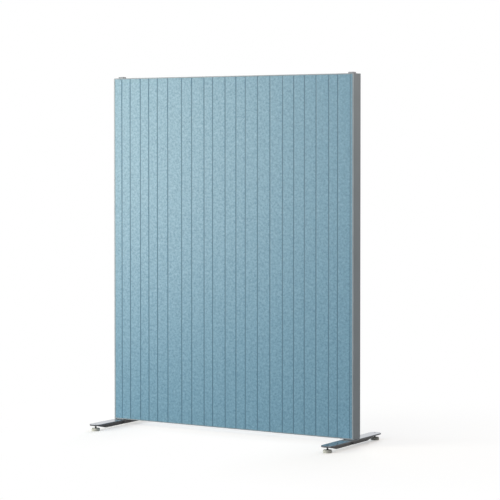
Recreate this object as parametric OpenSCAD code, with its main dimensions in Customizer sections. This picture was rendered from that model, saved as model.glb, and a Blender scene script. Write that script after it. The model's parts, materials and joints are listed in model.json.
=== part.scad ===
// Free-standing acoustic divider screen. Two grooved felt boards and an absorbing
// core sit in an aluminium frame. Square posts run down through the ends of the
// frame and stand on flat ribbed feet, which screwed glides level on the floor.
// Millimetres, +X to the right, +Y to the back, +Z up.
// The origin is on the floor, under the middle of the screen.

/* [Screen] */
// Width over the end profiles
screen_w = 1200; // [800:10:1600]
// Height of the framed panel
screen_h = 1500; // [1000:10:1800]
// Thickness of the framed panel
screen_t = 60; // [58:1:90]

/* [Felt boards] */
// Thickness of a felt board
felt_t = 12; // [10:0.5:13]
// Width of a groove at the face
groove_w = 8; // [4:0.5:10]
// Depth of a groove
groove_d = 4; // [2:0.5:6]

/* [Frame] */
// Outer wall of the end profiles and rails
wall_t = 2; // [1.6:0.1:2.4]
// Inner webs of the end profiles and rails
web_t = 1.8; // [1.4:0.1:2.2]
// Width of the end profile that shows beside the felt
lip_w = 6.5; // [5:0.5:10]
// Height of the rail that shows above and below the felt
rail_lip = 4; // [3.5:0.5:8]
// Radius of the frame's long outside corners
corner_r = 1.5; // [0.5:0.1:2]
// Reach of the flanges behind the edges of the felt
seat_w = 14; // [10:1:20]
// Thickness of the lands that take the bracket screws
land_t = 3; // [2.5:0.5:5]

/* [Corner brackets] */
// Length of each leg
bracket_l = 40; // [36:1:60]
// Width of a bracket
bracket_w = 20; // [14:1:24]
// Thickness of a bracket
bracket_t = 3; // [2:0.5:5]
// Diameter of the bracket screws
screw_dia = 4; // [3:0.5:5]

/* [Posts] */
// Side of a square post
post_w = 25; // [22:1:28]
// Wall of a post
post_wall = 2; // [1.5:0.5:3]
// Centre of a post and its foot from the end of the screen
post_inset = 24; // [20:1:32]
// Height of the plug's head above the panel
plug_h = 6.5; // [4:0.5:10]
// Depth of the plug's stem in the post
plug_stem_h = 22; // [14:1:40]
// Height of the threaded block in the foot of the post
block_h = 30; // [20:1:50]

/* [Feet] */
// Length of a foot over its round ends
foot_l = 458; // [380:2:600]
// Width of a foot
foot_w = 52; // [46:1:64]
// Thickness of the foot's plate
plate_t = 5.6; // [5:0.2:8]
// Radius round the plate's upper edge
plate_edge_r = 1.2; // [0.4:0.2:2]
// Depth of the rib under the plate
rib_d = 18; // [16:1:21]
// Thickness of the rib
rib_t = 8; // [5:0.5:12]
// Length over which each end of the rib rises to its glide
rib_rise_l = 70; // [40:1:120]
// Diameter of the bolt that holds the post
bolt_dia = 10; // [8:1:12]
// Thickness of the gasket between foot and frame
gasket_t = 2; // [1:0.5:4]

/* [Glides] */
// Floor to the underside of the foot's plate
glide_rise = 24; // [23:0.5:30]
// Diameter of a glide's pad
pad_dia = 36; // [28:1:44]
// Height of a glide's pad
pad_h = 12; // [10:0.5:14]
// Diameter of a glide's stud
stud_dia = 8; // [6:1:10]
// Depth of the boss that deepens the stud's thread
glide_boss_h = 3; // [2:0.5:5]

/* [Hidden] */

// Faces of a full turn, and of the corners of the post's plug
round_fn = 64;
plug_fn = 32;
// Overrun of every cut past the face that it opens
cut = 1;
// Clearance of a turning or sliding shaft in its hole, on the radius
run_gap = 0.05;
// Clearance between parts that are screwed face to face
face_gap = 0.05;
// Clearance between the felt, the core and the flanges that they rest on
seat_gap = 0.1;
// Clearance of parts that slide into each other on assembly
slip_gap = 0.2;
// Clearance of a post in its chamber and in the rails
post_gap = 0.3;
// Gap that shows between the felt and the frame
shadow_gap = 0.3;
// Room for the felt's tongues and the core to swell
swell_gap = 0.5;

// Underside and top of the framed panel
foot_top = glide_rise + plate_t;
panel_z = foot_top + gasket_t;
panel_top = panel_z + screen_h;

// Chamber of the end profile round the post, and its inboard face
chamber_w = post_w + 2 * post_gap;
chamber_in = post_inset - chamber_w / 2;
chamber_out = post_inset + chamber_w / 2;
profile_in = chamber_out + land_t;

// Outer faces of the flanges behind the felt, from the middle plane
seat_y = screen_t / 2 - felt_t - seat_gap;
// Length of end profile that is cut back to its outer wall for a rail
rail_notch = wall_t + seat_w + slip_gap;
// Half the width of the land down the middle of a rail
rail_land_hw = bracket_w / 2;

// Felt board: whole board with its tongues, and the face that shows
board_w = screen_w - 2 * (wall_t + swell_gap);
board_h = screen_h - 2 * (wall_t + swell_gap);
board_face_w = screen_w - 2 * (lip_w + shadow_gap);
board_face_h = screen_h - 2 * (rail_lip + shadow_gap);
// Depth of the step that puts the felt's face flush with the frame
tongue_d = wall_t + seat_gap;
// Middle of each groove, as shares of the screen's width from its left end
groove_shares = [0.036, 0.073, 0.118, 0.155, 0.193, 0.238, 0.298, 0.341, 0.394, 0.43,
                 0.483, 0.528, 0.567, 0.617, 0.668, 0.719, 0.764, 0.807, 0.853, 0.903,
                 0.938, 0.987];

// Core between the boards
core_w = screen_w - 2 * (profile_in + swell_gap);
core_h = screen_h - 2 * (wall_t + land_t + swell_gap);
core_t = 2 * seat_y;

// Inner end of the bracket's legs: clear of the profile and of the rail's land
bracket_in = profile_in + face_gap;
bracket_base = wall_t + land_t + face_gap;

// Bracket screws: places on the legs, and the heads
screw_first_share = 0.62;
screw_second_share = 0.86;
screw_head_dia = 2 * screw_dia;
screw_head_h_share = 0.65;
screw_head_h = screw_head_h_share * screw_dia;
screw_skin = wall_t / 2;
// Room in the core for a bracket and its screw heads
pocket_gap = 1;

// Post, its block and its plug
post_corner_r = post_wall;
post_seat_d = 1.2;
post_bottom = foot_top - post_seat_d;
post_bore_w = post_w - 2 * post_wall;
insert_w = post_bore_w - 2 * slip_gap;
plug_chamfer = 1.5;
plug_top_w = post_w - 2 * plug_chamfer;
plug_fin_t = 1.2;
plug_fin_pitch = 4.5;
plug_fins = 4;
plug_stem_share = 0.72;
plug_stem_w = plug_stem_share * insert_w;
thin = 0.1;

// Foot: pitch of the glides, rib fillet and the boss over the bolt
glide_pitch = foot_l - foot_w;
rib_fillet_r = 4;
rib_plate_overlap = plate_t / 2;
bolt_head_share = 1.6;
bolt_key_w_share = 0.8;
bolt_key_d_share = 0.5;
bolt_head_dia = bolt_head_share * bolt_dia;
bolt_head_h = bolt_dia;
bolt_key_w = bolt_key_w_share * bolt_dia;
bolt_key_d = bolt_key_d_share * bolt_dia;
bolt_sink = 0.4;
bolt_boss_wall = 3;
bolt_boss_dia = bolt_head_dia + 2 * bolt_boss_wall;
// Height of the boss's end above the bottom of the rib, which hides it from the side
bolt_boss_rise = 2;
bolt_boss_z = glide_rise - rib_d + bolt_boss_rise;
bolt_seat_z = bolt_boss_z + bolt_sink + bolt_head_h;
bolt_top_gap = 4;

// Gasket under the frame's end
gasket_edge = 2;
gasket_w = foot_w - 2 * gasket_edge;
gasket_l = screen_t - 2 * gasket_edge;
gasket_corner_r = 3;

// Glide: collar of the stud in the pad, and the rounding of the pad
glide_boss_wall = 3;
collar_z = 3;
collar_h = 3;
collar_share = 1.5;
collar_dia = collar_share * stud_dia;
pad_edge_r = 2.5;
pad_foot_chamfer = 0.8;
stud_sink = 0.4;
stud_chamfer = 0.8;
stud_key_share = 0.5;
stud_key_w = stud_key_share * stud_dia;
stud_key_d = stud_key_share * stud_dia;

// Places things at one end of the screen: x then runs inwards from that end
module at_end(side) {
  translate([side * screen_w / 2, 0, 0]) mirror([max(side, 0), 0, 0]) children();
}

// Places things at one corner of the frame: x runs inwards, z away from the rail
module at_corner(side, upper) {
  at_end(side) translate([0, 0, panel_z + upper * screen_h]) mirror([0, 0, upper]) children();
}

// Places things over the middle of a foot
module at_foot(side) {
  at_end(side) translate([post_inset, 0, 0]) children();
}

// Places things on the axis of a glide
module at_glide(side, back) {
  at_foot(side) translate([0, back * glide_pitch / 2, 0]) children();
}

// Square with round corners
module rounded_square(w, l, r, faces = round_fn) {
  square([w - 2 * r, l], center = true);
  square([w, l - 2 * r], center = true);
  for (x = [-1, 1], y = [-1, 1])
    translate([x * (w / 2 - r), y * (l / 2 - r)]) circle(r, $fn = faces);
}

// Channel section shared by profiles and rails: wall along y, lips of the given reach along x
module channel_section(reach) {
  difference() {
    union() {
      translate([corner_r, -screen_t / 2]) square([reach - corner_r, screen_t]);
      translate([0, corner_r - screen_t / 2]) square([reach, screen_t - 2 * corner_r]);
      for (side = [-1, 1])
        translate([corner_r, side * (screen_t / 2 - corner_r)]) circle(corner_r, $fn = round_fn);
    }
    translate([wall_t, wall_t - screen_t / 2]) square([reach, screen_t - 2 * wall_t]);
  }
}

// The two flanges that back the edges of the felt
module seat_section() {
  for (side = [-1, 1])
    translate([wall_t - cut, side * (seat_y - web_t / 2) - web_t / 2])
      square([cut + seat_w, web_t]);
}

// Post chamber and its webs to the outer wall
module chamber_section() {
  difference() {
    translate([wall_t - cut, -chamber_w / 2 - web_t])
      square([profile_in - wall_t + cut, chamber_w + 2 * web_t]);
    translate([chamber_in, -chamber_w / 2]) square([chamber_w, chamber_w]);
    if (chamber_in - web_t > wall_t)
      translate([wall_t, -chamber_w / 2]) square([chamber_in - web_t - wall_t, chamber_w]);
  }
}

// Screw holes through the chamber's inboard land, at one corner
module profile_screw_holes() {
  for (share = [screw_first_share, screw_second_share])
    translate([chamber_out - cut, 0, bracket_base + share * bracket_l])
      rotate([0, 90, 0]) cylinder(h = land_t + 2 * cut, d = screw_dia + 2 * run_gap, $fn = round_fn);
}

// Extruded end of the frame, cut back to its outer wall where the rails pass
module end_profile(side) {
  color("silver") difference() {
    union() {
      at_end(side) translate([0, 0, panel_z]) linear_extrude(screen_h) channel_section(lip_w);
      at_end(side) translate([0, 0, panel_z + rail_notch])
        linear_extrude(screen_h - 2 * rail_notch)
          intersection() {
            translate([wall_t / 2, -screen_t / 2]) square([screen_w / 2, screen_t]);
            union() {
              seat_section();
              chamber_section();
            }
          }
    }
    for (upper = [0, 1]) at_corner(side, upper) profile_screw_holes();
  }
}

// Blind screw holes in the rail's land, at one corner
module rail_screw_holes() {
  for (share = [screw_first_share, screw_second_share])
    translate([bracket_in + share * bracket_l, 0, screw_skin])
      cylinder(h = bracket_base, d = screw_dia + 2 * run_gap, $fn = round_fn);
}

// Notches for the end profile's lips and the square hole for the post, at one end of a rail
module rail_end_cuts() {
  notch_l = lip_w + slip_gap;
  notch_y = screen_t / 2 - wall_t - slip_gap;
  for (side = [-1, 1])
    translate([-cut, side * (notch_y + screen_t / 2) - screen_t / 2, -cut])
      cube([cut + notch_l, screen_t, seat_w + rail_notch]);
  translate([chamber_in, -chamber_w / 2, -cut])
    cube([chamber_w, chamber_w, seat_w + rail_notch]);
}

// Rail between the end profiles' outer walls, upper or lower
module rail(upper) {
  rail_l = screen_w - 2 * (wall_t + slip_gap);
  color("silver") difference() {
    translate([-rail_l / 2, 0, panel_z + upper * screen_h]) mirror([0, 0, upper])
      rotate([90, 0, 90]) linear_extrude(rail_l) rotate(90) mirror([0, 1, 0]) {
        channel_section(rail_lip);
        seat_section();
        translate([wall_t / 2, -rail_land_hw]) square([land_t + wall_t / 2, 2 * rail_land_hw]);
      }
    for (side = [-1, 1]) at_corner(side, upper) {
      rail_end_cuts();
      rail_screw_holes();
    }
  }
}

// Plan of a felt board: tongues at the ends and V grooves in the face
module board_plan() {
  tongue_w = (board_w - board_face_w) / 2;
  difference() {
    translate([-board_w / 2, -screen_t / 2]) square([board_w, felt_t]);
    for (side = [-1, 1])
      translate([side * (board_face_w + board_w) / 2 - board_w / 2, -screen_t / 2 - cut])
        square([board_w, cut + tongue_d]);
    for (share = groove_shares)
      translate([(share - 1 / 2) * screen_w, -screen_t / 2])
        polygon([[-groove_w / 2, -cut], [-groove_w / 2, 0], [0, groove_d],
                 [groove_w / 2, 0], [groove_w / 2, -cut]]);
  }
}

// Felt board of the front face
module felt_board() {
  tongue_h = (board_h - board_face_h) / 2;
  color([0.49, 0.65, 0.72]) difference() {
    translate([0, 0, panel_top - wall_t - swell_gap - board_h])
      linear_extrude(board_h) board_plan();
    for (z = [panel_z, panel_top - rail_lip - shadow_gap])
      translate([-screen_w / 2, -screen_t / 2 - cut, z])
        cube([screen_w, cut + tongue_d, rail_lip + shadow_gap]);
  }
}

// Sound-absorbing core, stepped for the rails' flanges and pocketed for the brackets
module absorbing_core() {
  pocket = bracket_l + pocket_gap + bracket_in;
  color("beige") difference() {
    translate([-core_w / 2, -core_t / 2, panel_z + (screen_h - core_h) / 2])
      cube([core_w, core_t, core_h]);
    for (upper = [0, 1], side = [-1, 1])
      translate([0, 0, panel_z + upper * screen_h]) mirror([0, 0, upper])
        translate([-screen_w / 2, side * (seat_y - web_t - seat_gap + core_t / 2) - core_t / 2, 0])
          cube([screen_w, core_t, wall_t + seat_w + slip_gap]);
    for (upper = [0, 1], side = [-1, 1]) at_corner(side, upper)
      translate([0, -bracket_w / 2 - pocket_gap, 0])
        cube([pocket, bracket_w + 2 * pocket_gap, bracket_base + bracket_l + pocket_gap]);
  }
}

// Angle bracket in one corner, with its screw holes
module corner_bracket() {
  hole_dia = screw_dia + 2 * run_gap;
  difference() {
    union() {
      translate([bracket_in, -bracket_w / 2, bracket_base]) cube([bracket_l, bracket_w, bracket_t]);
      translate([bracket_in, -bracket_w / 2, bracket_base]) cube([bracket_t, bracket_w, bracket_l]);
    }
    for (share = [screw_first_share, screw_second_share]) {
      translate([bracket_in + share * bracket_l, 0, bracket_base - cut])
        cylinder(h = bracket_t + 2 * cut, d = hole_dia, $fn = round_fn);
      translate([bracket_in - cut, 0, bracket_base + share * bracket_l])
        rotate([0, 90, 0]) cylinder(h = bracket_t + 2 * cut, d = hole_dia, $fn = round_fn);
    }
  }
}

// Pan-head screw along -z, its head's seat at z = 0
module bracket_screw(shank) {
  translate([0, 0, -shank]) cylinder(h = shank, d = screw_dia, $fn = round_fn);
  cylinder(h = screw_head_h, d = screw_head_dia, $fn = round_fn);
}

// The four screws of one corner
module corner_screw_set() {
  for (share = [screw_first_share, screw_second_share]) {
    translate([bracket_in + share * bracket_l, 0, bracket_base + bracket_t + face_gap])
      bracket_screw(bracket_t + land_t + face_gap);
    translate([bracket_in + bracket_t + face_gap, 0, bracket_base + share * bracket_l])
      rotate([0, 90, 0]) bracket_screw(bracket_t + land_t + face_gap);
  }
}

// Angle brackets of all four corners
module corner_brackets() {
  color("gray") for (side = [-1, 1], upper = [0, 1]) at_corner(side, upper) corner_bracket();
}

// Screws of all four corners
module corner_screws() {
  color("dimgray") for (side = [-1, 1], upper = [0, 1]) at_corner(side, upper) corner_screw_set();
}

// Square tube from the foot to the top of the panel
module post(side) {
  color("lightgray") at_foot(side) translate([0, 0, post_bottom])
    linear_extrude(panel_top - post_bottom) difference() {
      rounded_square(post_w, post_w, post_corner_r);
      square([post_bore_w, post_bore_w], center = true);
    }
}

// Plug in the top of a post: a chamfered head over a finned stem
module post_plug(side) {
  color("darkgray") at_foot(side) translate([0, 0, panel_top]) {
    linear_extrude(plug_h - plug_chamfer) rounded_square(post_w, post_w, post_corner_r, plug_fn);
    hull() {
      translate([0, 0, plug_h - plug_chamfer - thin])
        linear_extrude(thin) rounded_square(post_w, post_w, post_corner_r, plug_fn);
      translate([0, 0, plug_h - thin]) linear_extrude(thin)
        rounded_square(plug_top_w, plug_top_w, post_corner_r, plug_fn);
    }
    translate([-plug_stem_w / 2, -plug_stem_w / 2, -plug_stem_h])
      cube([plug_stem_w, plug_stem_w, plug_stem_h + thin]);
    for (fin = [1 : plug_fins])
      translate([-insert_w / 2, -insert_w / 2, -fin * plug_fin_pitch])
        cube([insert_w, insert_w, plug_fin_t]);
  }
}

// Threaded block fixed in the foot of a post
module post_block(side) {
  color("gray") at_foot(side) translate([0, 0, post_bottom]) difference() {
    translate([-insert_w / 2, -insert_w / 2, 0]) cube([insert_w, insert_w, block_h]);
    translate([0, 0, -cut]) cylinder(h = block_h + 2 * cut, d = bolt_dia + 2 * run_gap, $fn = round_fn);
  }
}

// Gasket between the foot and the frame's end
module base_gasket(side) {
  color("black") at_foot(side) translate([0, 0, foot_top]) linear_extrude(gasket_t) difference() {
    rounded_square(gasket_w, gasket_l, gasket_corner_r);
    square([chamber_w, chamber_w], center = true);
  }
}

// Half section of the foot's plate, with its upper edge rounded
module plate_half_section() {
  square([foot_w / 2 - plate_edge_r, plate_t]);
  square([foot_w / 2, plate_t - plate_edge_r]);
  translate([foot_w / 2 - plate_edge_r, plate_t - plate_edge_r]) circle(plate_edge_r, $fn = round_fn);
}

// Flat plate with half-round ends
module foot_plate() {
  translate([0, glide_pitch / 2, glide_rise]) rotate([90, 0, 0]) linear_extrude(glide_pitch) {
    plate_half_section();
    mirror([1, 0]) plate_half_section();
  }
  for (back = [0, 1])
    translate([0, (2 * back - 1) * glide_pitch / 2, glide_rise]) rotate(back * 180 + 180)
      rotate_extrude(angle = 180, $fn = round_fn) plate_half_section();
}

// Section of the rib, faired into the plate with fillets
module rib_section() {
  translate([-rib_t / 2, -rib_d]) square([rib_t, rib_d + rib_plate_overlap]);
  difference() {
    translate([-rib_t / 2 - rib_fillet_r, -rib_fillet_r])
      square([rib_t + 2 * rib_fillet_r, rib_fillet_r + rib_plate_overlap]);
    for (side = [-1, 1])
      translate([side * (rib_t / 2 + rib_fillet_r), -rib_fillet_r]) circle(rib_fillet_r, $fn = round_fn);
  }
}

// Side view of the rib, rising to the glides at both ends
module rib_outline() {
  end_y = glide_pitch / 2;
  low_y = end_y - rib_rise_l;
  polygon([[-end_y, rib_plate_overlap], [end_y, rib_plate_overlap], [end_y, -glide_boss_h],
           [low_y, -rib_d], [-low_y, -rib_d], [-end_y, -glide_boss_h]]);
}

// Foot in one casting: plate, rib, bosses, and the seat of the post
module foot(side) {
  boss_top = glide_rise + plate_t / 2;
  bolt_boss_h = boss_top - bolt_boss_z;
  color("slategray") at_foot(side) difference() {
    union() {
      foot_plate();
      intersection() {
        translate([0, glide_pitch / 2, glide_rise]) rotate([90, 0, 0])
          linear_extrude(glide_pitch) rib_section();
        translate([-foot_w / 2, 0, glide_rise]) rotate([90, 0, 90])
          linear_extrude(foot_w) rib_outline();
      }
      translate([0, 0, bolt_boss_z])
        cylinder(h = bolt_boss_h, d = bolt_boss_dia, $fn = round_fn);
      for (back = [-1, 1]) translate([0, back * glide_pitch / 2, glide_rise - glide_boss_h])
        cylinder(h = boss_top - glide_rise + glide_boss_h, d = stud_dia + 2 * glide_boss_wall,
                 $fn = round_fn);
    }
    for (back = [-1, 1]) translate([0, back * glide_pitch / 2, glide_rise - glide_boss_h - cut])
      cylinder(h = glide_boss_h + plate_t + 2 * cut, d = stud_dia + 2 * run_gap, $fn = round_fn);
    translate([0, 0, glide_rise - rib_d - cut])
      cylinder(h = rib_d + plate_t + 2 * cut, d = bolt_dia + 2 * slip_gap, $fn = round_fn);
    translate([0, 0, glide_rise - rib_d - cut])
      cylinder(h = cut + rib_d - glide_rise + bolt_seat_z, d = bolt_head_dia + 2 * slip_gap,
               $fn = round_fn);
    translate([-post_w / 2 - slip_gap, -post_w / 2 - slip_gap, post_bottom])
      cube([post_w + 2 * slip_gap, post_w + 2 * slip_gap, post_seat_d + cut]);
  }
}

// Socket-head bolts from below, through the feet into the posts' blocks
module foot_bolts() {
  shank = post_bottom + block_h - bolt_top_gap - bolt_seat_z;
  color("dimgray") for (side = [-1, 1]) at_foot(side) translate([0, 0, bolt_seat_z]) difference() {
    union() {
      cylinder(h = shank, d = bolt_dia, $fn = round_fn);
      translate([0, 0, -bolt_head_h]) cylinder(h = bolt_head_h, d = bolt_head_dia, $fn = round_fn);
    }
    translate([0, 0, -bolt_head_h - cut]) cylinder(h = bolt_key_d + cut, d = bolt_key_w, $fn = 6);
  }
}

// Half section of a pad, with the cavity that holds the stud's collar
module pad_half_section() {
  pad_r = pad_dia / 2;
  difference() {
    union() {
      polygon([[0, 0], [pad_r - pad_foot_chamfer, 0], [pad_r, pad_foot_chamfer],
               [pad_r, pad_h - pad_edge_r], [0, pad_h - pad_edge_r]]);
      square([pad_r - pad_edge_r, pad_h]);
      translate([pad_r - pad_edge_r, pad_h - pad_edge_r]) circle(pad_edge_r, $fn = round_fn);
    }
    translate([-cut, collar_z - run_gap])
      square([cut + collar_dia / 2 + run_gap, collar_h + 2 * run_gap]);
    translate([-cut, collar_z]) square([cut + stud_dia / 2 + run_gap, pad_h]);
  }
}

// Pad of a glide, which stays still on the floor while its stud turns
module glide_pad(side, back) {
  color("gainsboro") at_glide(side, back) rotate_extrude($fn = round_fn) pad_half_section();
}

// Stud of a glide: a collar in the pad, a shank through the foot and a key socket on top
module glide_stud(side, back) {
  stud_top = foot_top - stud_sink;
  stud_r = stud_dia / 2;
  color("gray") at_glide(side, back) difference() {
    rotate_extrude($fn = round_fn)
      polygon([[0, collar_z], [collar_dia / 2, collar_z], [collar_dia / 2, collar_z + collar_h],
               [stud_r, collar_z + collar_h], [stud_r, stud_top - stud_chamfer],
               [stud_r - stud_chamfer, stud_top], [0, stud_top]]);
    translate([0, 0, stud_top - stud_key_d])
      cylinder(h = stud_key_d + cut, d = stud_key_w, $fn = 6);
  }
}

end_profile(-1);  // left_end_profile
end_profile(1);  // right_end_profile
rail(1);  // top_rail
rail(0);  // bottom_rail
corner_brackets();
corner_screws();
felt_board();  // front_felt_board
rotate(180) felt_board();  // rear_felt_board
absorbing_core();
post(-1);  // left_post
post(1);  // right_post
post_plug(-1);  // left_post_plug
post_plug(1);  // right_post_plug
post_block(-1);  // left_post_block
post_block(1);  // right_post_block
base_gasket(-1);  // left_base_gasket
base_gasket(1);  // right_base_gasket
foot(-1);  // left_foot
foot(1);  // right_foot
foot_bolts();
glide_pad(-1, -1);  // front_left_pad
glide_pad(1, -1);  // front_right_pad
glide_pad(-1, 1);  // rear_left_pad
glide_pad(1, 1);  // rear_right_pad
glide_stud(-1, -1);  // front_left_stud
glide_stud(1, -1);  // front_right_stud
glide_stud(-1, 1);  // rear_left_stud
glide_stud(1, 1);  // rear_right_stud
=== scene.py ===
"""Finishes a free-standing acoustic divider screen and sets it on a pale studio floor.

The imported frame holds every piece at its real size. The felt boards' grooves are pressed with
soft shoulders, the metal pieces get broken edges and smooth faces, and the glides' studs get
their threads. Lengths are in metres, +X to the right, +Y to the back, +Z up.
"""

import json
import math

import bmesh
import bpy
from bpy.props import FloatProperty, FloatVectorProperty, IntProperty, PointerProperty
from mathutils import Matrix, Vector

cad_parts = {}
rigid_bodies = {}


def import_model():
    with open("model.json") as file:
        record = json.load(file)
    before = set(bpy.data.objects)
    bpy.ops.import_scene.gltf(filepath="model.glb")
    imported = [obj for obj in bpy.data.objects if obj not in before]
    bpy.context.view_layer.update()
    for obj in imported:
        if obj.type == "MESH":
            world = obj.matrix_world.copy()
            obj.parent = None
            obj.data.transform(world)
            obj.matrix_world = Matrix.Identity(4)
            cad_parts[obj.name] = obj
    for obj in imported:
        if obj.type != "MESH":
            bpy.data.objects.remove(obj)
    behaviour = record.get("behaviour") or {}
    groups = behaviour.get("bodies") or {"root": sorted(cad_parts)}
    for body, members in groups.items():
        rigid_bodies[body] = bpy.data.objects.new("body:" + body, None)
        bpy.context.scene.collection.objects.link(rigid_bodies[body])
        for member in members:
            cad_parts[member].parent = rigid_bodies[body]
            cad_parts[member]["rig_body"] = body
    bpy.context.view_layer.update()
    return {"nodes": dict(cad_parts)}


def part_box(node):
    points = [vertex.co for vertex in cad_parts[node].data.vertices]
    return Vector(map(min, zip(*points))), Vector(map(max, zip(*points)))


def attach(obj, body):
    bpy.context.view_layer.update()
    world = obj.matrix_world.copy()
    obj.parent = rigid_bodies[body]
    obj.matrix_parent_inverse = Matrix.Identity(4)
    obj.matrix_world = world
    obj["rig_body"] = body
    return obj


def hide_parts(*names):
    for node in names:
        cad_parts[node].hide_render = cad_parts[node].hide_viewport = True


bl_info = {
    "name": "Acoustic Divider Screen",
    "version": (1, 0, 0),
    "blender": (4, 5, 0),
    "location": "View3D > Sidebar > Screen",
    "description": "Felt boards, frame, feet and glides of a divider screen, with a studio",
    "category": "Add Mesh",
}

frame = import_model()

SIDES = ("left", "right")
CORNERS = [f"{end}_{side}" for end in ("front", "rear") for side in SIDES]
MM = 0.001
# Two heights or widths closer than this are the same
SAME_PLACE = 0.01 * MM
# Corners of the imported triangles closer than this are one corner
SAME_CORNER = 0.002 * MM
# Triangles that meet at less than this, in degrees, are one flat face
FLAT_ANGLE = 0.2
# Edges of the board's face that turn by more than this, in degrees, are rounded
RIM_ANGLE = 10
WHITE = (1.0, 1.0, 1.0)


def srgb(red, green, blue):
    """Scene-linear colour of three screen values from 0 to 255."""
    def linear(value):
        share = value / 255
        return share / 12.92 if share <= 0.04045 else ((share + 0.055) / 1.055) ** 2.4

    return (linear(red), linear(green), linear(blue))


def colour_property(name, description, colour):
    """A colour that the user can change."""
    return FloatVectorProperty(name=name, description=description, subtype="COLOR", size=3,
                               min=0, max=1, default=colour)


def length_property(name, description, millimetres):
    """A length that the user can change, given in millimetres."""
    return FloatProperty(name=name, description=description, unit="LENGTH", min=0,
                         precision=5, default=millimetres * MM)


class ScreenFeltSettings(bpy.types.PropertyGroup):
    """Edges and colours of the felt boards."""

    felt_colour: colour_property("Felt", "Colour of most of the fibres", srgb(108, 156, 184))
    pale_colour: colour_property("Pale fibres", "Colour of the palest fibres", srgb(142, 184, 208))
    deep_colour: colour_property("Deep fibres", "Colour of the darkest fibres", srgb(72, 120, 149))
    # The groove colour is painted shade: it stands in for the shade inside deeper grooves
    groove_shade_colour: colour_property("Cut felt", "Colour of the fibres pressed into the grooves",
                                srgb(85, 129, 155))
    groove_width: length_property("Groove width", "Width of the grooves in the face", 4.8)
    groove_depth: length_property("Groove depth", "Depth of the grooves in the face", 0.8)
    shoulder_radius: length_property("Shoulder", "Rounding where a groove meets the face", 0.8)
    root_radius: length_property("Root", "Rounding at the bottom of a groove", 0.7)


class ScreenMetalSettings(bpy.types.PropertyGroup):
    """Colours and edges of the frame, the posts and the feet."""

    frame_colour: colour_property("Frame", "Colour of the anodised frame", srgb(159, 172, 182))
    chrome_colour: colour_property("Polished plate", "Colour of the feet's polished top",
                                   (0.30, 0.33, 0.38))
    # The plate edge and rib colours are partly painted dark reflection and shade under the polished
    # plate
    edge_colour: colour_property("Plate edge", "Colour of the satin edge of the feet's plates",
                                 srgb(90, 93, 99))
    dark_rib_colour: colour_property("Cast rib", "Colour of the ribs under the feet", srgb(44, 43, 47))
    steel_colour: colour_property("Steel", "Colour of the plated steel", (0.55, 0.55, 0.56))
    broken_edge: length_property("Broken edge", "Width of the bevel on cut metal edges", 0.25)


class ScreenGlideSettings(bpy.types.PropertyGroup):
    """Sizes and colours of the levelling glides and the plugs."""

    pad_colour: colour_property("Pad", "Colour of the glides' pads", srgb(213, 214, 206))
    stud_colour: colour_property("Stud", "Colour of the glides' studs", (0.16, 0.16, 0.17))
    plug_colour: colour_property("Plug", "Colour of the plugs in the posts", srgb(168, 172, 182))
    rubber_colour: colour_property("Gasket", "Colour of the gaskets", srgb(112, 118, 122))
    thread_pitch: length_property("Thread pitch", "Rise of the stud's thread in one turn", 1.25)
    thread_depth: length_property("Thread depth", "Depth of the stud's thread", 0.65)
    turn_faces: IntProperty(name="Turn faces", description="Faces in one turn of the thread",
                            min=12, max=96, default=36)


class ScreenStageSettings(bpy.types.PropertyGroup):
    """Place of the camera and level of the light."""

    camera_place: FloatVectorProperty(name="Camera", description="Place of the camera", size=3,
                                      subtype="TRANSLATION", unit="LENGTH",
                                      default=(4.382, -6.980, 1.231))
    camera_yaw: FloatProperty(name="Yaw", description="Turn of the camera to the left",
                              subtype="ANGLE", default=math.radians(31.618))
    camera_pitch: FloatProperty(name="Pitch", description="Rise of the camera's line of sight",
                                subtype="ANGLE", default=math.radians(-1.6))
    camera_lens: FloatProperty(name="Lens", description="Focal length in millimetres",
                               default=139.43)
    camera_shift: FloatProperty(name="Shift", description="Rise of the lens for the framing",
                                default=-0.098)
    key_power: FloatProperty(name="Key lamp", description="Power of the key lamp",
                             subtype="POWER", default=165)
    front_power: FloatProperty(name="Front lamp", description="Power of the lamp in front",
                               subtype="POWER", default=66)
    low_power: FloatProperty(name="Low lamp", description="Power of the low lamp to the left",
                             subtype="POWER", default=15)
    side_power: FloatProperty(name="Side lamp", description="Power of the lamp to the right",
                              subtype="POWER", default=11.6)
    rear_power: FloatProperty(name="Rear lamp", description="Power of the lamp behind",
                              subtype="POWER", default=125)
    ambient: FloatProperty(name="Ambient", description="Level of the light from all round",
                           default=0.145)
    floor_pale: FloatProperty(name="Floor", default=0.9,
                              description="Paleness of the floor where it is seen")
    floor_bounce: FloatProperty(name="Floor bounce", default=0.35,
                                description="Share of the light that the floor throws back")
    floor_lift: FloatProperty(name="Floor lift", default=0.45,
                              description="Light added to the floor where it is seen")
    shadow_reach: FloatProperty(name="Shadow reach", unit="LENGTH", default=0.8,
                                description="Distance from the screen where its shadow is gone")


def start_material(name):
    """A new material with one Principled shader. Returns the material, its tree and the shader."""
    material = bpy.data.materials.new(name)
    material.use_nodes = True
    tree = material.node_tree
    tree.nodes.clear()
    output = tree.nodes.new("ShaderNodeOutputMaterial")
    shader = tree.nodes.new("ShaderNodeBsdfPrincipled")
    tree.links.new(shader.outputs["BSDF"], output.inputs["Surface"])
    return material, tree, shader


def set_input(tree, socket, value):
    """Links an output to a socket, or sets the socket to a number or a colour."""
    if isinstance(value, bpy.types.NodeSocket):
        tree.links.new(value, socket)
    elif isinstance(value, (int, float)):
        socket.default_value = value
    else:
        socket.default_value = (*value, 1)


def object_place(tree, turn=(0, 0, 0), stretch=(1, 1, 1)):
    """The object's own coordinates, turned and stretched."""
    place = tree.nodes.new("ShaderNodeTexCoord")
    mapping = tree.nodes.new("ShaderNodeMapping")
    mapping.inputs["Rotation"].default_value = turn
    mapping.inputs["Scale"].default_value = stretch
    tree.links.new(place.outputs["Object"], mapping.inputs["Vector"])
    return mapping.outputs["Vector"]


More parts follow.
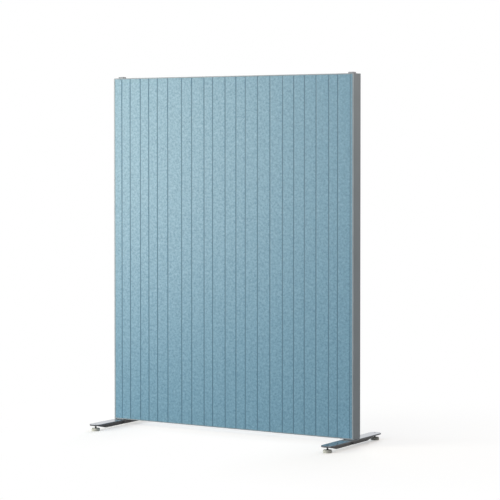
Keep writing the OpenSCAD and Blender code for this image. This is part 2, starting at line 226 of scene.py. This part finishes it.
def noise(tree, place, scale, detail=3.0, roughness=0.55):
    """Noise with about scale lumps in a metre."""
    node = tree.nodes.new("ShaderNodeTexNoise")
    node.inputs["Scale"].default_value = scale
    node.inputs["Detail"].default_value = detail
    node.inputs["Roughness"].default_value = roughness
    tree.links.new(place, node.inputs["Vector"])
    return node.outputs["Fac"]


def ramp(tree, value, stops):
    """A colour ramp through (position, colour) stops."""
    node = tree.nodes.new("ShaderNodeValToRGB")
    elements = node.color_ramp.elements
    while len(elements) < len(stops):
        elements.new(0.5)
    for element, (position, colour) in zip(elements, stops):
        element.position = position
        element.color = (*colour, 1)
    tree.links.new(value, node.inputs["Fac"])
    return node.outputs["Color"]


def spread(tree, value, low, high, to_low=0.0, to_high=1.0):
    """A value taken from one range to another, and held inside it."""
    node = tree.nodes.new("ShaderNodeMapRange")
    for socket, side in zip(node.inputs, (value, low, high, to_low, to_high)):
        set_input(tree, socket, side)
    return node.outputs["Result"]


def combine(tree, operation, first, second):
    """Two values put together by a Math operation."""
    node = tree.nodes.new("ShaderNodeMath")
    node.operation = operation
    set_input(tree, node.inputs[0], first)
    set_input(tree, node.inputs[1], second)
    return node.outputs["Value"]


def mix_colours(tree, factor, first, second):
    """A mix of two colours."""
    node = tree.nodes.new("ShaderNodeMix")
    node.data_type = "RGBA"
    factor_socket = next(s for s in node.inputs if s.identifier == "Factor_Float")
    first_socket = next(s for s in node.inputs if s.identifier == "A_Color")
    second_socket = next(s for s in node.inputs if s.identifier == "B_Color")
    set_input(tree, factor_socket, factor)
    set_input(tree, first_socket, first)
    set_input(tree, second_socket, second)
    return next(s for s in node.outputs if s.identifier == "Result_Color")


def bump(tree, shader, height, strength, distance):
    """Raises the shader's surface by a height."""
    node = tree.nodes.new("ShaderNodeBump")
    node.inputs["Strength"].default_value = strength
    node.inputs["Distance"].default_value = distance
    tree.links.new(height, node.inputs["Height"])
    tree.links.new(node.outputs["Normal"], shader.inputs["Normal"])


def fibre_layer(tree, angle, across, along):
    """Noise drawn out into short fibres that lie at an angle in the plane of the board."""
    place = object_place(tree, turn=(0, angle, 0), stretch=(across, across, along))
    return noise(tree, place, 1.0, detail=2.0)


def felt_material():
    """Pressed polyester felt: pale and deep fibres over a soft mottle, a fuzzy face, and painted
    shade in the grooves.
    """
    settings = bpy.context.scene.screen_felt
    material, tree, shader = start_material("heather_felt")
    place = object_place(tree)
    mottle = noise(tree, place, 105, detail=2.0, roughness=0.6)
    grain = noise(tree, place, 520, detail=4.0, roughness=0.65)
    layers = [fibre_layer(tree, math.radians(turn), 2200, 260) for turn in (12, 74, 131)]
    fibres = combine(tree, "MAXIMUM", combine(tree, "MAXIMUM", layers[0], layers[1]), layers[2])
    pale_share = combine(tree, "MULTIPLY", spread(tree, fibres, 0.60, 0.78), 0.5)
    blend = combine(tree, "ADD", combine(tree, "MULTIPLY", mottle, 0.55),
                    combine(tree, "MULTIPLY", grain, 0.45))
    ground = ramp(tree, blend, [(0.26, settings.deep_colour), (0.5, settings.felt_colour),
                                (0.74, settings.pale_colour)])
    colour = mix_colours(tree, pale_share, ground, settings.pale_colour)
    face = abs(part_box("front_felt_board")[0].y)
    # Painted groove shade: the darker colour comes in below this depth, and covers this share at
    # the bottom
    shade_from, shade_share = 0.1 * MM, 0.9
    axes = tree.nodes.new("ShaderNodeSeparateXYZ")
    tree.links.new(place, axes.inputs["Vector"])
    out = combine(tree, "ABSOLUTE", axes.outputs["Y"], 0)
    # cut is the share of painted groove shade at each depth
    cut = spread(tree, out, face - settings.groove_depth, face - shade_from, shade_share, 0.0)
    tree.links.new(mix_colours(tree, cut, colour, settings.groove_shade_colour), shader.inputs["Base Color"])
    shader.inputs["Roughness"].default_value = 0.36
    shader.inputs["Specular IOR Level"].default_value = 0.5
    shader.inputs["Sheen Weight"].default_value = 0.05
    shader.inputs["Sheen Roughness"].default_value = 0.6
    bump(tree, shader, combine(tree, "ADD", grain, fibres), 0.35, 0.4 * MM)
    return material


def anodised_material():
    """Satin anodised aluminium with the faint lines of its extrusion."""
    colour = bpy.context.scene.screen_metal.frame_colour
    material, tree, shader = start_material("satin_anodised")
    lines = noise(tree, object_place(tree, stretch=(2600, 2600, 3)), 1.0, detail=2.0)
    cloud = spread(tree, noise(tree, object_place(tree), 9, detail=3.0), 0.3, 0.7)
    dull = [0.9 * part for part in colour]
    tree.links.new(mix_colours(tree, cloud, dull, colour), shader.inputs["Base Color"])
    shader.inputs["Specular IOR Level"].default_value = 0.4
    tree.links.new(spread(tree, lines, 0.3, 0.7, 0.32, 0.44), shader.inputs["Roughness"])
    bump(tree, shader, lines, 0.12, 0.05 * MM)
    return material


def foot_material():
    """Polished plate over an edge and rib painted dark: partly a dark finish, partly painted dark
    reflection and shade.
    """
    settings = bpy.context.scene.screen_metal
    material, tree, shader = start_material("polished_foot")
    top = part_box("left_foot")[1].z
    # The plate's under face is the highest one below its rounded edge
    plate_edge = 3 * MM
    plate_under = max(height for height in levels("left_foot", 2) if height < top - plate_edge)
    place = tree.nodes.new("ShaderNodeTexCoord")
    axes = tree.nodes.new("ShaderNodeSeparateXYZ")
    tree.links.new(place.outputs["Object"], axes.inputs["Vector"])
    polished = spread(tree, axes.outputs["Z"], top - 0.7 * MM, top - 0.4 * MM)
    plate = spread(tree, axes.outputs["Z"], plate_under - 0.2 * MM, plate_under + 0.2 * MM)
    grit = noise(tree, object_place(tree), 900, detail=3.0)
    wear = noise(tree, object_place(tree, stretch=(240, 12, 240)), 1.0, detail=4.0)
    # Painted dark reflection and shade on the plate edge and the rib, below the polished top
    dark_underside_colour = mix_colours(tree, plate, settings.dark_rib_colour, settings.edge_colour)
    colour = mix_colours(tree, polished, dark_underside_colour, settings.chrome_colour)
    tree.links.new(colour, shader.inputs["Base Color"])
    tree.links.new(polished, shader.inputs["Metallic"])
    shine = spread(tree, wear, 0.35, 0.75, 0.04, 0.10)
    dull = spread(tree, polished, 0, 1, 0.3, 0.0)
    tree.links.new(combine(tree, "ADD", shine, dull), shader.inputs["Roughness"])
    relief = combine(tree, "MULTIPLY", grit, spread(tree, polished, 0, 1, 1.0, 0.02))
    bump(tree, shader, relief, 0.25, 0.08 * MM)
    return material


def moulded_material(name, colour, roughness, grain_scale):
    """Moulded plastic or rubber with a fine grain."""
    material, tree, shader = start_material(name)
    place = object_place(tree)
    grain = noise(tree, place, grain_scale, detail=3.0)
    cloud = spread(tree, noise(tree, place, 60, detail=2.0), 0.3, 0.7)
    dull = [0.88 * part for part in colour]
    tree.links.new(mix_colours(tree, cloud, dull, colour), shader.inputs["Base Color"])
    tree.links.new(spread(tree, grain, 0.3, 0.7, roughness - 0.06, roughness + 0.06),
                   shader.inputs["Roughness"])
    bump(tree, shader, grain, 0.2, 0.06 * MM)
    return material


def steel_material(name, colour, roughness):
    """Plated steel with fine handling marks."""
    material, tree, shader = start_material(name)
    marks = noise(tree, object_place(tree, stretch=(500, 500, 60)), 1.0, detail=4.0)
    worn = spread(tree, marks, 0.3, 0.7)
    dull = [0.75 * part for part in colour]
    tree.links.new(mix_colours(tree, worn, dull, colour), shader.inputs["Base Color"])
    shader.inputs["Metallic"].default_value = 1.0
    tree.links.new(spread(tree, marks, 0.3, 0.7, roughness - 0.08, roughness + 0.08),
                   shader.inputs["Roughness"])
    bump(tree, shader, marks, 0.1, 0.05 * MM)
    return material


def core_material():
    """Open-celled absorbing core."""
    material, tree, shader = start_material("absorbing_foam")
    cells = noise(tree, object_place(tree), 600, detail=3.0, roughness=0.7)
    stops = [(0.35, srgb(150, 140, 120)), (0.65, srgb(214, 206, 186))]
    tree.links.new(ramp(tree, cells, stops), shader.inputs["Base Color"])
    shader.inputs["Roughness"].default_value = 0.95
    bump(tree, shader, cells, 0.6, 0.5 * MM)
    return material


def paint(piece, material):
    """Gives a piece one material."""
    piece.data.materials.clear()
    piece.data.materials.append(material)


def levels(node, axis):
    """The distinct coordinates of a CAD node's corners along an axis, in order."""
    digits = 5
    return sorted({round(v.co[axis], digits) for v in frame["nodes"][node].data.vertices})


def is_at(value, place):
    """True where a coordinate is at a place."""
    return abs(value - place) < SAME_PLACE


def merged_copy(node):
    """A bmesh of a CAD node with its loose triangles joined into whole faces."""
    mesh_edit = bmesh.new()
    mesh_edit.from_mesh(frame["nodes"][node].data)
    bmesh.ops.remove_doubles(mesh_edit, verts=mesh_edit.verts, dist=SAME_CORNER)
    bmesh.ops.dissolve_limit(mesh_edit, angle_limit=math.radians(FLAT_ANGLE),
                             verts=mesh_edit.verts, edges=mesh_edit.edges)
    return mesh_edit


def round_edges(mesh_edit, edges, width, segments):
    """Rounds the given edges."""
    bmesh.ops.bevel(mesh_edit, geom=edges, offset=width, segments=segments, profile=0.5,
                    affect="EDGES", clamp_overlap=True, material=-1)


def new_piece(mesh_edit, name, node, material, sharp_angle):
    """Turns a bmesh into a smooth piece that stands for a CAD node and rides on its body."""
    mesh_edit.normal_update()
    for face in mesh_edit.faces:
        face.smooth = True
    for edge in mesh_edit.edges:
        edge.smooth = edge.is_manifold and edge.calc_face_angle() < math.radians(sharp_angle)
    mesh = bpy.data.meshes.new(name)
    mesh_edit.to_mesh(mesh)
    mesh_edit.free()
    piece = bpy.data.objects.new(name, mesh)
    bpy.context.scene.collection.objects.link(piece)
    even = piece.modifiers.new("even_shading", "WEIGHTED_NORMAL")
    even.keep_sharp = True
    paint(piece, material)
    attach(piece, frame["nodes"][node]["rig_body"])
    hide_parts(node)
    return piece


def finished_copy(node, material, width, least_angle=40, sharp_angle=32):
    """Replaces a CAD node by its own shape, with broken edges and smooth faces."""
    mesh_edit = merged_copy(node)
    edges = [edge for edge in mesh_edit.edges
             if edge.is_manifold and edge.calc_face_angle() > math.radians(least_angle)]
    round_edges(mesh_edit, edges, width, segments=2)
    return new_piece(mesh_edit, f"{node}_finished", node, material, sharp_angle)


class SCREEN_OT_felt_boards(bpy.types.Operator):
    """Press the grooves of both felt boards and give them their heather colour"""

    bl_idname = "screen.felt_boards"
    bl_label = "Felt Boards"

    def execute(self, context):
        settings = context.scene.screen_felt
        material = felt_material()
        for end, order in (("front", 1), ("rear", -1)):
            node = f"{end}_felt_board"
            face, _, root, _ = levels(node, 1)[::order]
            mesh_edit = merged_copy(node)
            upright = [edge for edge in mesh_edit.edges
                       if is_at(edge.verts[0].co.x, edge.verts[1].co.x)
                       and is_at(edge.verts[0].co.y, edge.verts[1].co.y)]
            roots = [edge for edge in upright if is_at(edge.verts[0].co.y, root)]
            if not roots:
                raise RuntimeError(f"{node} has no grooves to press")
            self.press_grooves(settings, roots, face, face + order * settings.groove_depth)
            round_edges(mesh_edit, roots, settings.root_radius, segments=3)
            rims = [edge for edge in mesh_edit.edges
                    if all(is_at(v.co.y, face) for v in edge.verts)
                    and edge.is_manifold and edge.calc_face_angle() > math.radians(RIM_ANGLE)]
            round_edges(mesh_edit, rims, settings.shoulder_radius, segments=3)
            new_piece(mesh_edit, f"{end}_grooved_felt", node, material, sharp_angle=50)
        return {"FINISHED"}

    @staticmethod
    def press_grooves(settings, roots, face, bottom):
        """Brings the walls of each groove together at the face, and its root to the bottom."""
        for edge in roots:
            middle = edge.verts[0].co.x
            for vert in {vert for wall in edge.link_faces for vert in wall.verts}:
                if is_at(vert.co.y, face):
                    half = math.copysign(settings.groove_width / 2, vert.co.x - middle)
                    vert.co.x = middle + half
            for vert in edge.verts:
                vert.co.y = bottom


class SCREEN_OT_frame(bpy.types.Operator):
    """Finish the end profiles and the rails, and what joins them inside"""

    bl_idname = "screen.frame"
    bl_label = "Frame"

    def execute(self, context):
        settings = context.scene.screen_metal
        anodised = anodised_material()
        for node in ("left_end_profile", "right_end_profile", "top_rail", "bottom_rail"):
            finished_copy(node, anodised, settings.broken_edge)
        plated = steel_material("zinc_plated_steel", settings.steel_colour, 0.38)
        for node in ("corner_brackets", "corner_screws"):
            paint(frame["nodes"][node], plated)
        paint(frame["nodes"]["absorbing_core"], core_material())
        return {"FINISHED"}


class SCREEN_OT_posts(bpy.types.Operator):
    """Finish the posts, their plugs and the blocks and gaskets at their feet"""

    bl_idname = "screen.posts"
    bl_label = "Posts"

    def execute(self, context):
        metal = context.scene.screen_metal
        glides = context.scene.screen_glides
        steel = steel_material("drawn_steel", metal.steel_colour, 0.42)
        plastic = moulded_material("plug_plastic", glides.plug_colour, 0.45, 1500)
        rubber = moulded_material("gasket_rubber", glides.rubber_colour, 0.75, 900)
        for side in SIDES:
            paint(frame["nodes"][f"{side}_post"], steel)
            paint(frame["nodes"][f"{side}_post_block"], steel)
            paint(frame["nodes"][f"{side}_base_gasket"], rubber)
            finished_copy(f"{side}_post_plug", plastic, metal.broken_edge)
        return {"FINISHED"}


class SCREEN_OT_feet(bpy.types.Operator):
    """Polish the feet and finish the bolts that hold them"""

    bl_idname = "screen.feet"
    bl_label = "Feet"

    def execute(self, context):
        settings = context.scene.screen_metal
        polished = foot_material()
        for side in SIDES:
            finished_copy(f"{side}_foot", polished, settings.broken_edge)
        black = steel_material("blackened_steel", (0.06, 0.06, 0.065), 0.4)
        paint(frame["nodes"]["foot_bolts"], black)
        return {"FINISHED"}


class SCREEN_OT_glides(bpy.types.Operator):
    """Finish the pads and cut the threads of the glides' studs"""

    bl_idname = "screen.glides"
    bl_label = "Glides"

    # Flat rim between the end of the shank and its key socket
    SOCKET_RIM = 0.3 * MM
    # Corners of the wound thread closer than this are one corner
    WELD = 0.001 * MM
    # Corners this close to a trimming plane lie on it
    ON_PLANE = 0.0001 * MM

    def execute(self, context):
        settings = context.scene.screen_glides
        plastic = moulded_material("pad_plastic", settings.pad_colour, 0.5, 1200)
        steel = steel_material("stud_steel", settings.stud_colour, 0.35)
        edge = context.scene.screen_metal.broken_edge
        for corner in CORNERS:
            finished_copy(f"{corner}_pad", plastic, edge)
            node = f"{corner}_stud"
            new_piece(self.stud(settings, node), f"{node}_threaded", node, steel,
                      sharp_angle=40)
        return {"FINISHED"}

    def stud(self, settings, node):
        """A stud in one skin: collar, threaded shank, chamfered end and key socket."""
        low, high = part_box(node)
        collar_low, collar_top, key_floor, chamfer_low = levels(node, 2)[:4]
        top = high.z
        collar_reach = (high.x - low.x) / 2
        shank_reach = self.reach(node, chamfer_low)
        mesh_edit = bmesh.new()
        self.cut_thread(mesh_edit, settings, shank_reach, collar_top, top)
        for vert in mesh_edit.verts:
            limit = shank_reach - max(vert.co.z - chamfer_low, 0)
            if vert.co.xy.length > limit:
                vert.co.xy = vert.co.xy.normalized() * limit
        self.cut_socket(mesh_edit, top, key_floor, self.reach(node, key_floor))
        self.add_collar(mesh_edit, collar_top, collar_low, collar_reach)
        bmesh.ops.recalc_face_normals(mesh_edit, faces=mesh_edit.faces)
        axis = ((low.x + high.x) / 2, (low.y + high.y) / 2, 0)
        bmesh.ops.translate(mesh_edit, verts=mesh_edit.verts, vec=axis)
        return mesh_edit

    @staticmethod
    def reach(node, height):
        """Largest distance from the axis of a node's corners at a height."""
        low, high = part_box(node)
        axis = Vector(((low.x + high.x) / 2, (low.y + high.y) / 2))
        return max((v.co.xy - axis).length for v in frame["nodes"][node].data.vertices
                   if is_at(v.co.z, height))

    def cut_thread(self, mesh_edit, settings, crest, start, end):
        """Winds one pitch of thread section up the z axis, and trims it at both ends."""
        pitch = settings.thread_pitch
        root = crest - settings.thread_depth
        # Reach from the axis, and place along it in shares of the pitch: a flat root, a
        # flank, a flat crest, a flank and a flat root
        section = ((root, 0), (root, 1 / 8), (crest, 7 / 16), (crest, 9 / 16), (root, 7 / 8),
                   (root, 1))
        first = start - pitch
        verts = [mesh_edit.verts.new((reach, 0, first + share * pitch)) for reach, share in section]
        edges = [mesh_edit.edges.new(pair) for pair in zip(verts, verts[1:])]
        turns = math.ceil((end - first) / pitch) + 1
        steps = settings.turn_faces
        bmesh.ops.spin(mesh_edit, geom=verts + edges, cent=(0, 0, 0), axis=(0, 0, 1),
                       dvec=(0, 0, pitch / steps), angle=2 * math.pi * turns,
                       steps=steps * turns)
        bmesh.ops.remove_doubles(mesh_edit, verts=mesh_edit.verts, dist=self.WELD)
        for height, up in ((start, -1), (end, 1)):
            geometry = mesh_edit.verts[:] + mesh_edit.edges[:] + mesh_edit.faces[:]
            bmesh.ops.bisect_plane(mesh_edit, geom=geometry, dist=self.ON_PLANE,
                                   plane_co=(0, 0, height), plane_no=(0, 0, up),
                                   clear_outer=True)

    @staticmethod
    def rim(mesh_edit, height):
        """Open edges at a height."""
        return [edge for edge in mesh_edit.edges
                if edge.is_boundary and all(is_at(v.co.z, height) for v in edge.verts)]

    def cut_socket(self, mesh_edit, top, floor, key_reach):
        """Closes the end of the shank and sinks a hexagonal key socket into it."""
        cap = bmesh.ops.edgeloop_fill(mesh_edit, edges=self.rim(mesh_edit, top))["faces"]
        bmesh.ops.inset_region(mesh_edit, faces=cap, thickness=self.SOCKET_RIM,
                               use_even_offset=True)
        sixth = math.pi / 3
        flat = key_reach * math.cos(sixth / 2)
        for vert in cap[0].verts:
            angle = math.atan2(vert.co.y, vert.co.x) % sixth - sixth / 2
            vert.co.xy = vert.co.xy.normalized() * (flat / math.cos(angle))
        sunk = bmesh.ops.extrude_face_region(mesh_edit, geom=cap)["geom"]
        verts = [item for item in sunk if isinstance(item, bmesh.types.BMVert)]
        bmesh.ops.translate(mesh_edit, verts=verts, vec=(0, 0, floor - top))
        bmesh.ops.delete(mesh_edit, geom=[f for f in cap if f.is_valid], context="FACES_ONLY")

    def add_collar(self, mesh_edit, top, low, reach):
        """Draws the foot of the shank out and down into its collar."""
        ring = self.rim(mesh_edit, top)
        for drop in (0, low - top):
            drawn = bmesh.ops.extrude_edge_only(mesh_edit, edges=ring)["geom"]
            ring = [item for item in drawn if isinstance(item, bmesh.types.BMEdge)]
            verts = {vert for edge in ring for vert in edge.verts}
            for vert in verts:
                vert.co.xy = vert.co.xy.normalized() * reach
                vert.co.z += drop
        bmesh.ops.edgeloop_fill(mesh_edit, edges=ring)


class SCREEN_OT_stage(bpy.types.Operator):
    """Set the floor, the surroundings, the lamps and the camera"""

    bl_idname = "screen.stage"
    bl_label = "Stage"

    # Each lamp: its place, the point that it is aimed at, its width and its colour
    LAMPS = {
        "key": ((-3.55, -3.8, 1.7), (-0.2, 0.0, 0.8), 2.5, (1.0, 1.0, 0.855)),
        "front": ((1.0, -5.4, 1.6), (0.0, 0.0, 0.8), 2.5, WHITE),
        "rear": ((-1.8, 4.5, 2.4), (-0.2, 0.0, 0.7), 3.0, WHITE),
        "low": ((-2.6, -2.6, 0.5), (-0.3, 0.0, 0.5), 1.4, WHITE),
        "side": ((1.6, 0.3, 2.6), (0.6, 0.0, 1.3), 0.8, (1.0, 0.83, 0.68)),
    }
    FLOOR_HALF = 40.0
    # Distance from the screen at which its shadow starts to fade, and how fast it goes
    FADE_START = 0.02
    FADE_POWER = 0.36
    # How much a distance counts in the fade: beside a foot, outwards of the right foot,
    # in front of the panel and behind it
    BESIDE, TO_RIGHT, IN_FRONT, BEHIND = 2.6, 0.7, 5.0, 0.5
    # Middle of the panel's shadow behind the middle of the panel
    SHADOW_MIDDLE = 0.045

    def execute(self, context):
        settings = context.scene.screen_stage
        context.scene.view_settings.view_transform = "Standard"
        self.lay_floor(settings)
        self.light_world(context.scene, settings)
        for name, (place, target, size, colour) in self.LAMPS.items():
            lamp = self.hang_lamp(f"{name}_softbox", place, target, size,
                                  getattr(settings, f"{name}_power"), colour)
            # The polished feet don't mirror the rear lamp
            lamp.visible_glossy = name != "rear"
        self.set_camera(context.scene, settings)
        return {"FINISHED"}

    @staticmethod
    def seen_share(tree):
        """1 for rays that show a surface, seen, mirrored or through another, and 0 for the rest."""
        path = tree.nodes.new("ShaderNodeLightPath")
        seen = combine(tree, "ADD", path.outputs["Is Camera Ray"], path.outputs["Is Glossy Ray"])
        seen = combine(tree, "ADD", seen, path.outputs["Is Transmission Ray"])
        return combine(tree, "MINIMUM", seen, 1.0)

    def floor_material(self, settings):
        """Pale floor that keeps the shadows near the object and fades to white further off."""
        material = bpy.data.materials.new("pale_floor")
        material.use_nodes = True
        tree = material.node_tree
        tree.nodes.clear()
        output = tree.nodes.new("ShaderNodeOutputMaterial")
        seen = self.seen_share(tree)
        diffuse = tree.nodes.new("ShaderNodeBsdfDiffuse")
        paleness = spread(tree, seen, 0, 1, settings.floor_bounce, settings.floor_pale)
        tree.links.new(paleness, diffuse.inputs["Color"])
        lift = tree.nodes.new("ShaderNodeEmission")
        lift_strength = combine(tree, "MULTIPLY", seen, settings.floor_lift)
        tree.links.new(lift_strength, lift.inputs["Strength"])
        near = tree.nodes.new("ShaderNodeAddShader")
        tree.links.new(diffuse.outputs["BSDF"], near.inputs[0])
        tree.links.new(lift.outputs["Emission"], near.inputs[1])
        white = tree.nodes.new("ShaderNodeEmission")
        reach = spread(tree, self.distance_from_screen(tree), self.FADE_START,
                       settings.shadow_reach)
        far = combine(tree, "MULTIPLY", combine(tree, "POWER", reach, self.FADE_POWER), seen)
        blend = tree.nodes.new("ShaderNodeMixShader")
        tree.links.new(far, blend.inputs["Fac"])
        tree.links.new(near.outputs["Shader"], blend.inputs[1])
        tree.links.new(white.outputs["Emission"], blend.inputs[2])
        tree.links.new(blend.outputs["Shader"], output.inputs["Surface"])
        return material

    def distance_from_screen(self, tree):
        """Distance on the floor from the nearer foot's middle line or from the panel.

        The light comes from the front left, so behind the panel and to its right the distance
        counts less.
        """
        low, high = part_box("right_foot")
        middle = (low.x + high.x) / 2
        panel_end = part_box("right_end_profile")[1].x
        axes = tree.nodes.new("ShaderNodeSeparateXYZ")
        tree.links.new(object_place(tree), axes.inputs["Vector"])
        across = combine(tree, "ABSOLUTE", axes.outputs["X"], 0)
        to_right = combine(tree, "GREATER_THAN", axes.outputs["X"], middle)
        beside = combine(tree, "MULTIPLY", combine(tree, "SUBTRACT", across, middle),
                         spread(tree, to_right, 0, 1, self.BESIDE, self.TO_RIGHT))
        past = combine(tree, "SUBTRACT", combine(tree, "ABSOLUTE", axes.outputs["Y"], 0), high.y)
        depth = combine(tree, "SUBTRACT", axes.outputs["Y"], self.SHADOW_MIDDLE)
        behind = combine(tree, "GREATER_THAN", depth, 0)
        away = combine(tree, "MULTIPLY", depth,
                       spread(tree, behind, 0, 1, self.IN_FRONT, self.BEHIND))
        outside = combine(tree, "SUBTRACT", across, panel_end)
        distances = []
        for sideways, in_depth in ((beside, combine(tree, "MAXIMUM", past, 0)),
                                   (combine(tree, "MAXIMUM", outside, 0), away)):
            squares = [combine(tree, "POWER", side, 2) for side in (sideways, in_depth)]
            distances.append(combine(tree, "SQRT", combine(tree, "ADD", *squares), 0))
        return combine(tree, "MINIMUM", *distances)

    def lay_floor(self, settings):
        """A wide level floor under the glides."""
        mesh_edit = bmesh.new()
        bmesh.ops.create_grid(mesh_edit, x_segments=1, y_segments=1, size=self.FLOOR_HALF)
        mesh = bpy.data.meshes.new("studio_floor")
        mesh_edit.to_mesh(mesh)
        mesh_edit.free()
        floor = bpy.data.objects.new("studio_floor", mesh)
        bpy.context.scene.collection.objects.link(floor)
        paint(floor, self.floor_material(settings))

    def light_world(self, scene, settings):
        """White surroundings to the eye, and an even grey light on the object."""
        world = bpy.data.worlds.new("studio_world")
        scene.world = world
        world.use_nodes = True
        tree = world.node_tree
        tree.nodes.clear()
        output = tree.nodes.new("ShaderNodeOutputWorld")
        background = tree.nodes.new("ShaderNodeBackground")
        background.inputs["Color"].default_value = (1, 1, 1, 1)
        strength = spread(tree, self.seen_share(tree), 0, 1, settings.ambient, 1.0)
        tree.links.new(strength, background.inputs["Strength"])
        tree.links.new(background.outputs["Background"], output.inputs["Surface"])

    @staticmethod
    def hang_lamp(name, place, target, size, power, colour):
        """A square softbox aimed at a point. Returns its object."""
        lamp = bpy.data.lights.new(name, "AREA")
        lamp.shape = "SQUARE"
        lamp.size = size
        lamp.energy = power
        lamp.color = colour
        holder = bpy.data.objects.new(name, lamp)
        bpy.context.scene.collection.objects.link(holder)
        holder.location = place
        holder.rotation_euler = (Vector(target) - Vector(place)).to_track_quat("-Z", "Y").to_euler()
        holder.visible_camera = False
        return holder

    @staticmethod
    def set_camera(scene, settings):
        """The camera at the photograph's viewing angle."""
        camera = bpy.data.cameras.new("view_camera")
        camera.lens = settings.camera_lens
        camera.sensor_width = 36
        camera.shift_y = settings.camera_shift
        camera.clip_end = 200
        holder = bpy.data.objects.new("view_camera", camera)
        scene.collection.objects.link(holder)
        holder.location = settings.camera_place
        holder.rotation_euler = (math.pi / 2 + settings.camera_pitch, 0, settings.camera_yaw)
        scene.camera = holder


class SCREEN_PT_panel(bpy.types.Panel):
    """Sizes, colours and steps of the divider screen"""

    bl_idname = "SCREEN_PT_panel"
    bl_label = "Divider Screen"
    bl_space_type = "VIEW_3D"
    bl_region_type = "UI"
    bl_category = "Screen"

    def draw(self, context):
        for name, group in SETTINGS.items():
            box = self.layout.box()
            for key in group.__annotations__:
                box.prop(getattr(context.scene, name), key)
        for step in STEPS:
            self.layout.operator(step.bl_idname)


SETTINGS = {
    "screen_felt": ScreenFeltSettings,
    "screen_metal": ScreenMetalSettings,
    "screen_glides": ScreenGlideSettings,
    "screen_stage": ScreenStageSettings,
}
STEPS = (SCREEN_OT_felt_boards, SCREEN_OT_frame, SCREEN_OT_posts, SCREEN_OT_feet,
         SCREEN_OT_glides, SCREEN_OT_stage)
CLASSES = (*SETTINGS.values(), *STEPS, SCREEN_PT_panel)


def register():
    """Registers the classes and hangs the settings on the scene."""
    for item in CLASSES:
        bpy.utils.register_class(item)
    for name, group in SETTINGS.items():
        setattr(bpy.types.Scene, name, PointerProperty(type=group))


def unregister():
    """Undoes register."""
    for name in SETTINGS:
        delattr(bpy.types.Scene, name)
    for item in reversed(CLASSES):
        bpy.utils.unregister_class(item)


def main():
    """Registers the add-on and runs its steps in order."""
    register()
    bpy.ops.screen.felt_boards()
    bpy.ops.screen.frame()
    bpy.ops.screen.posts()
    bpy.ops.screen.feet()
    bpy.ops.screen.glides()
    bpy.ops.screen.stage()


if __name__ == "__main__":
    main()
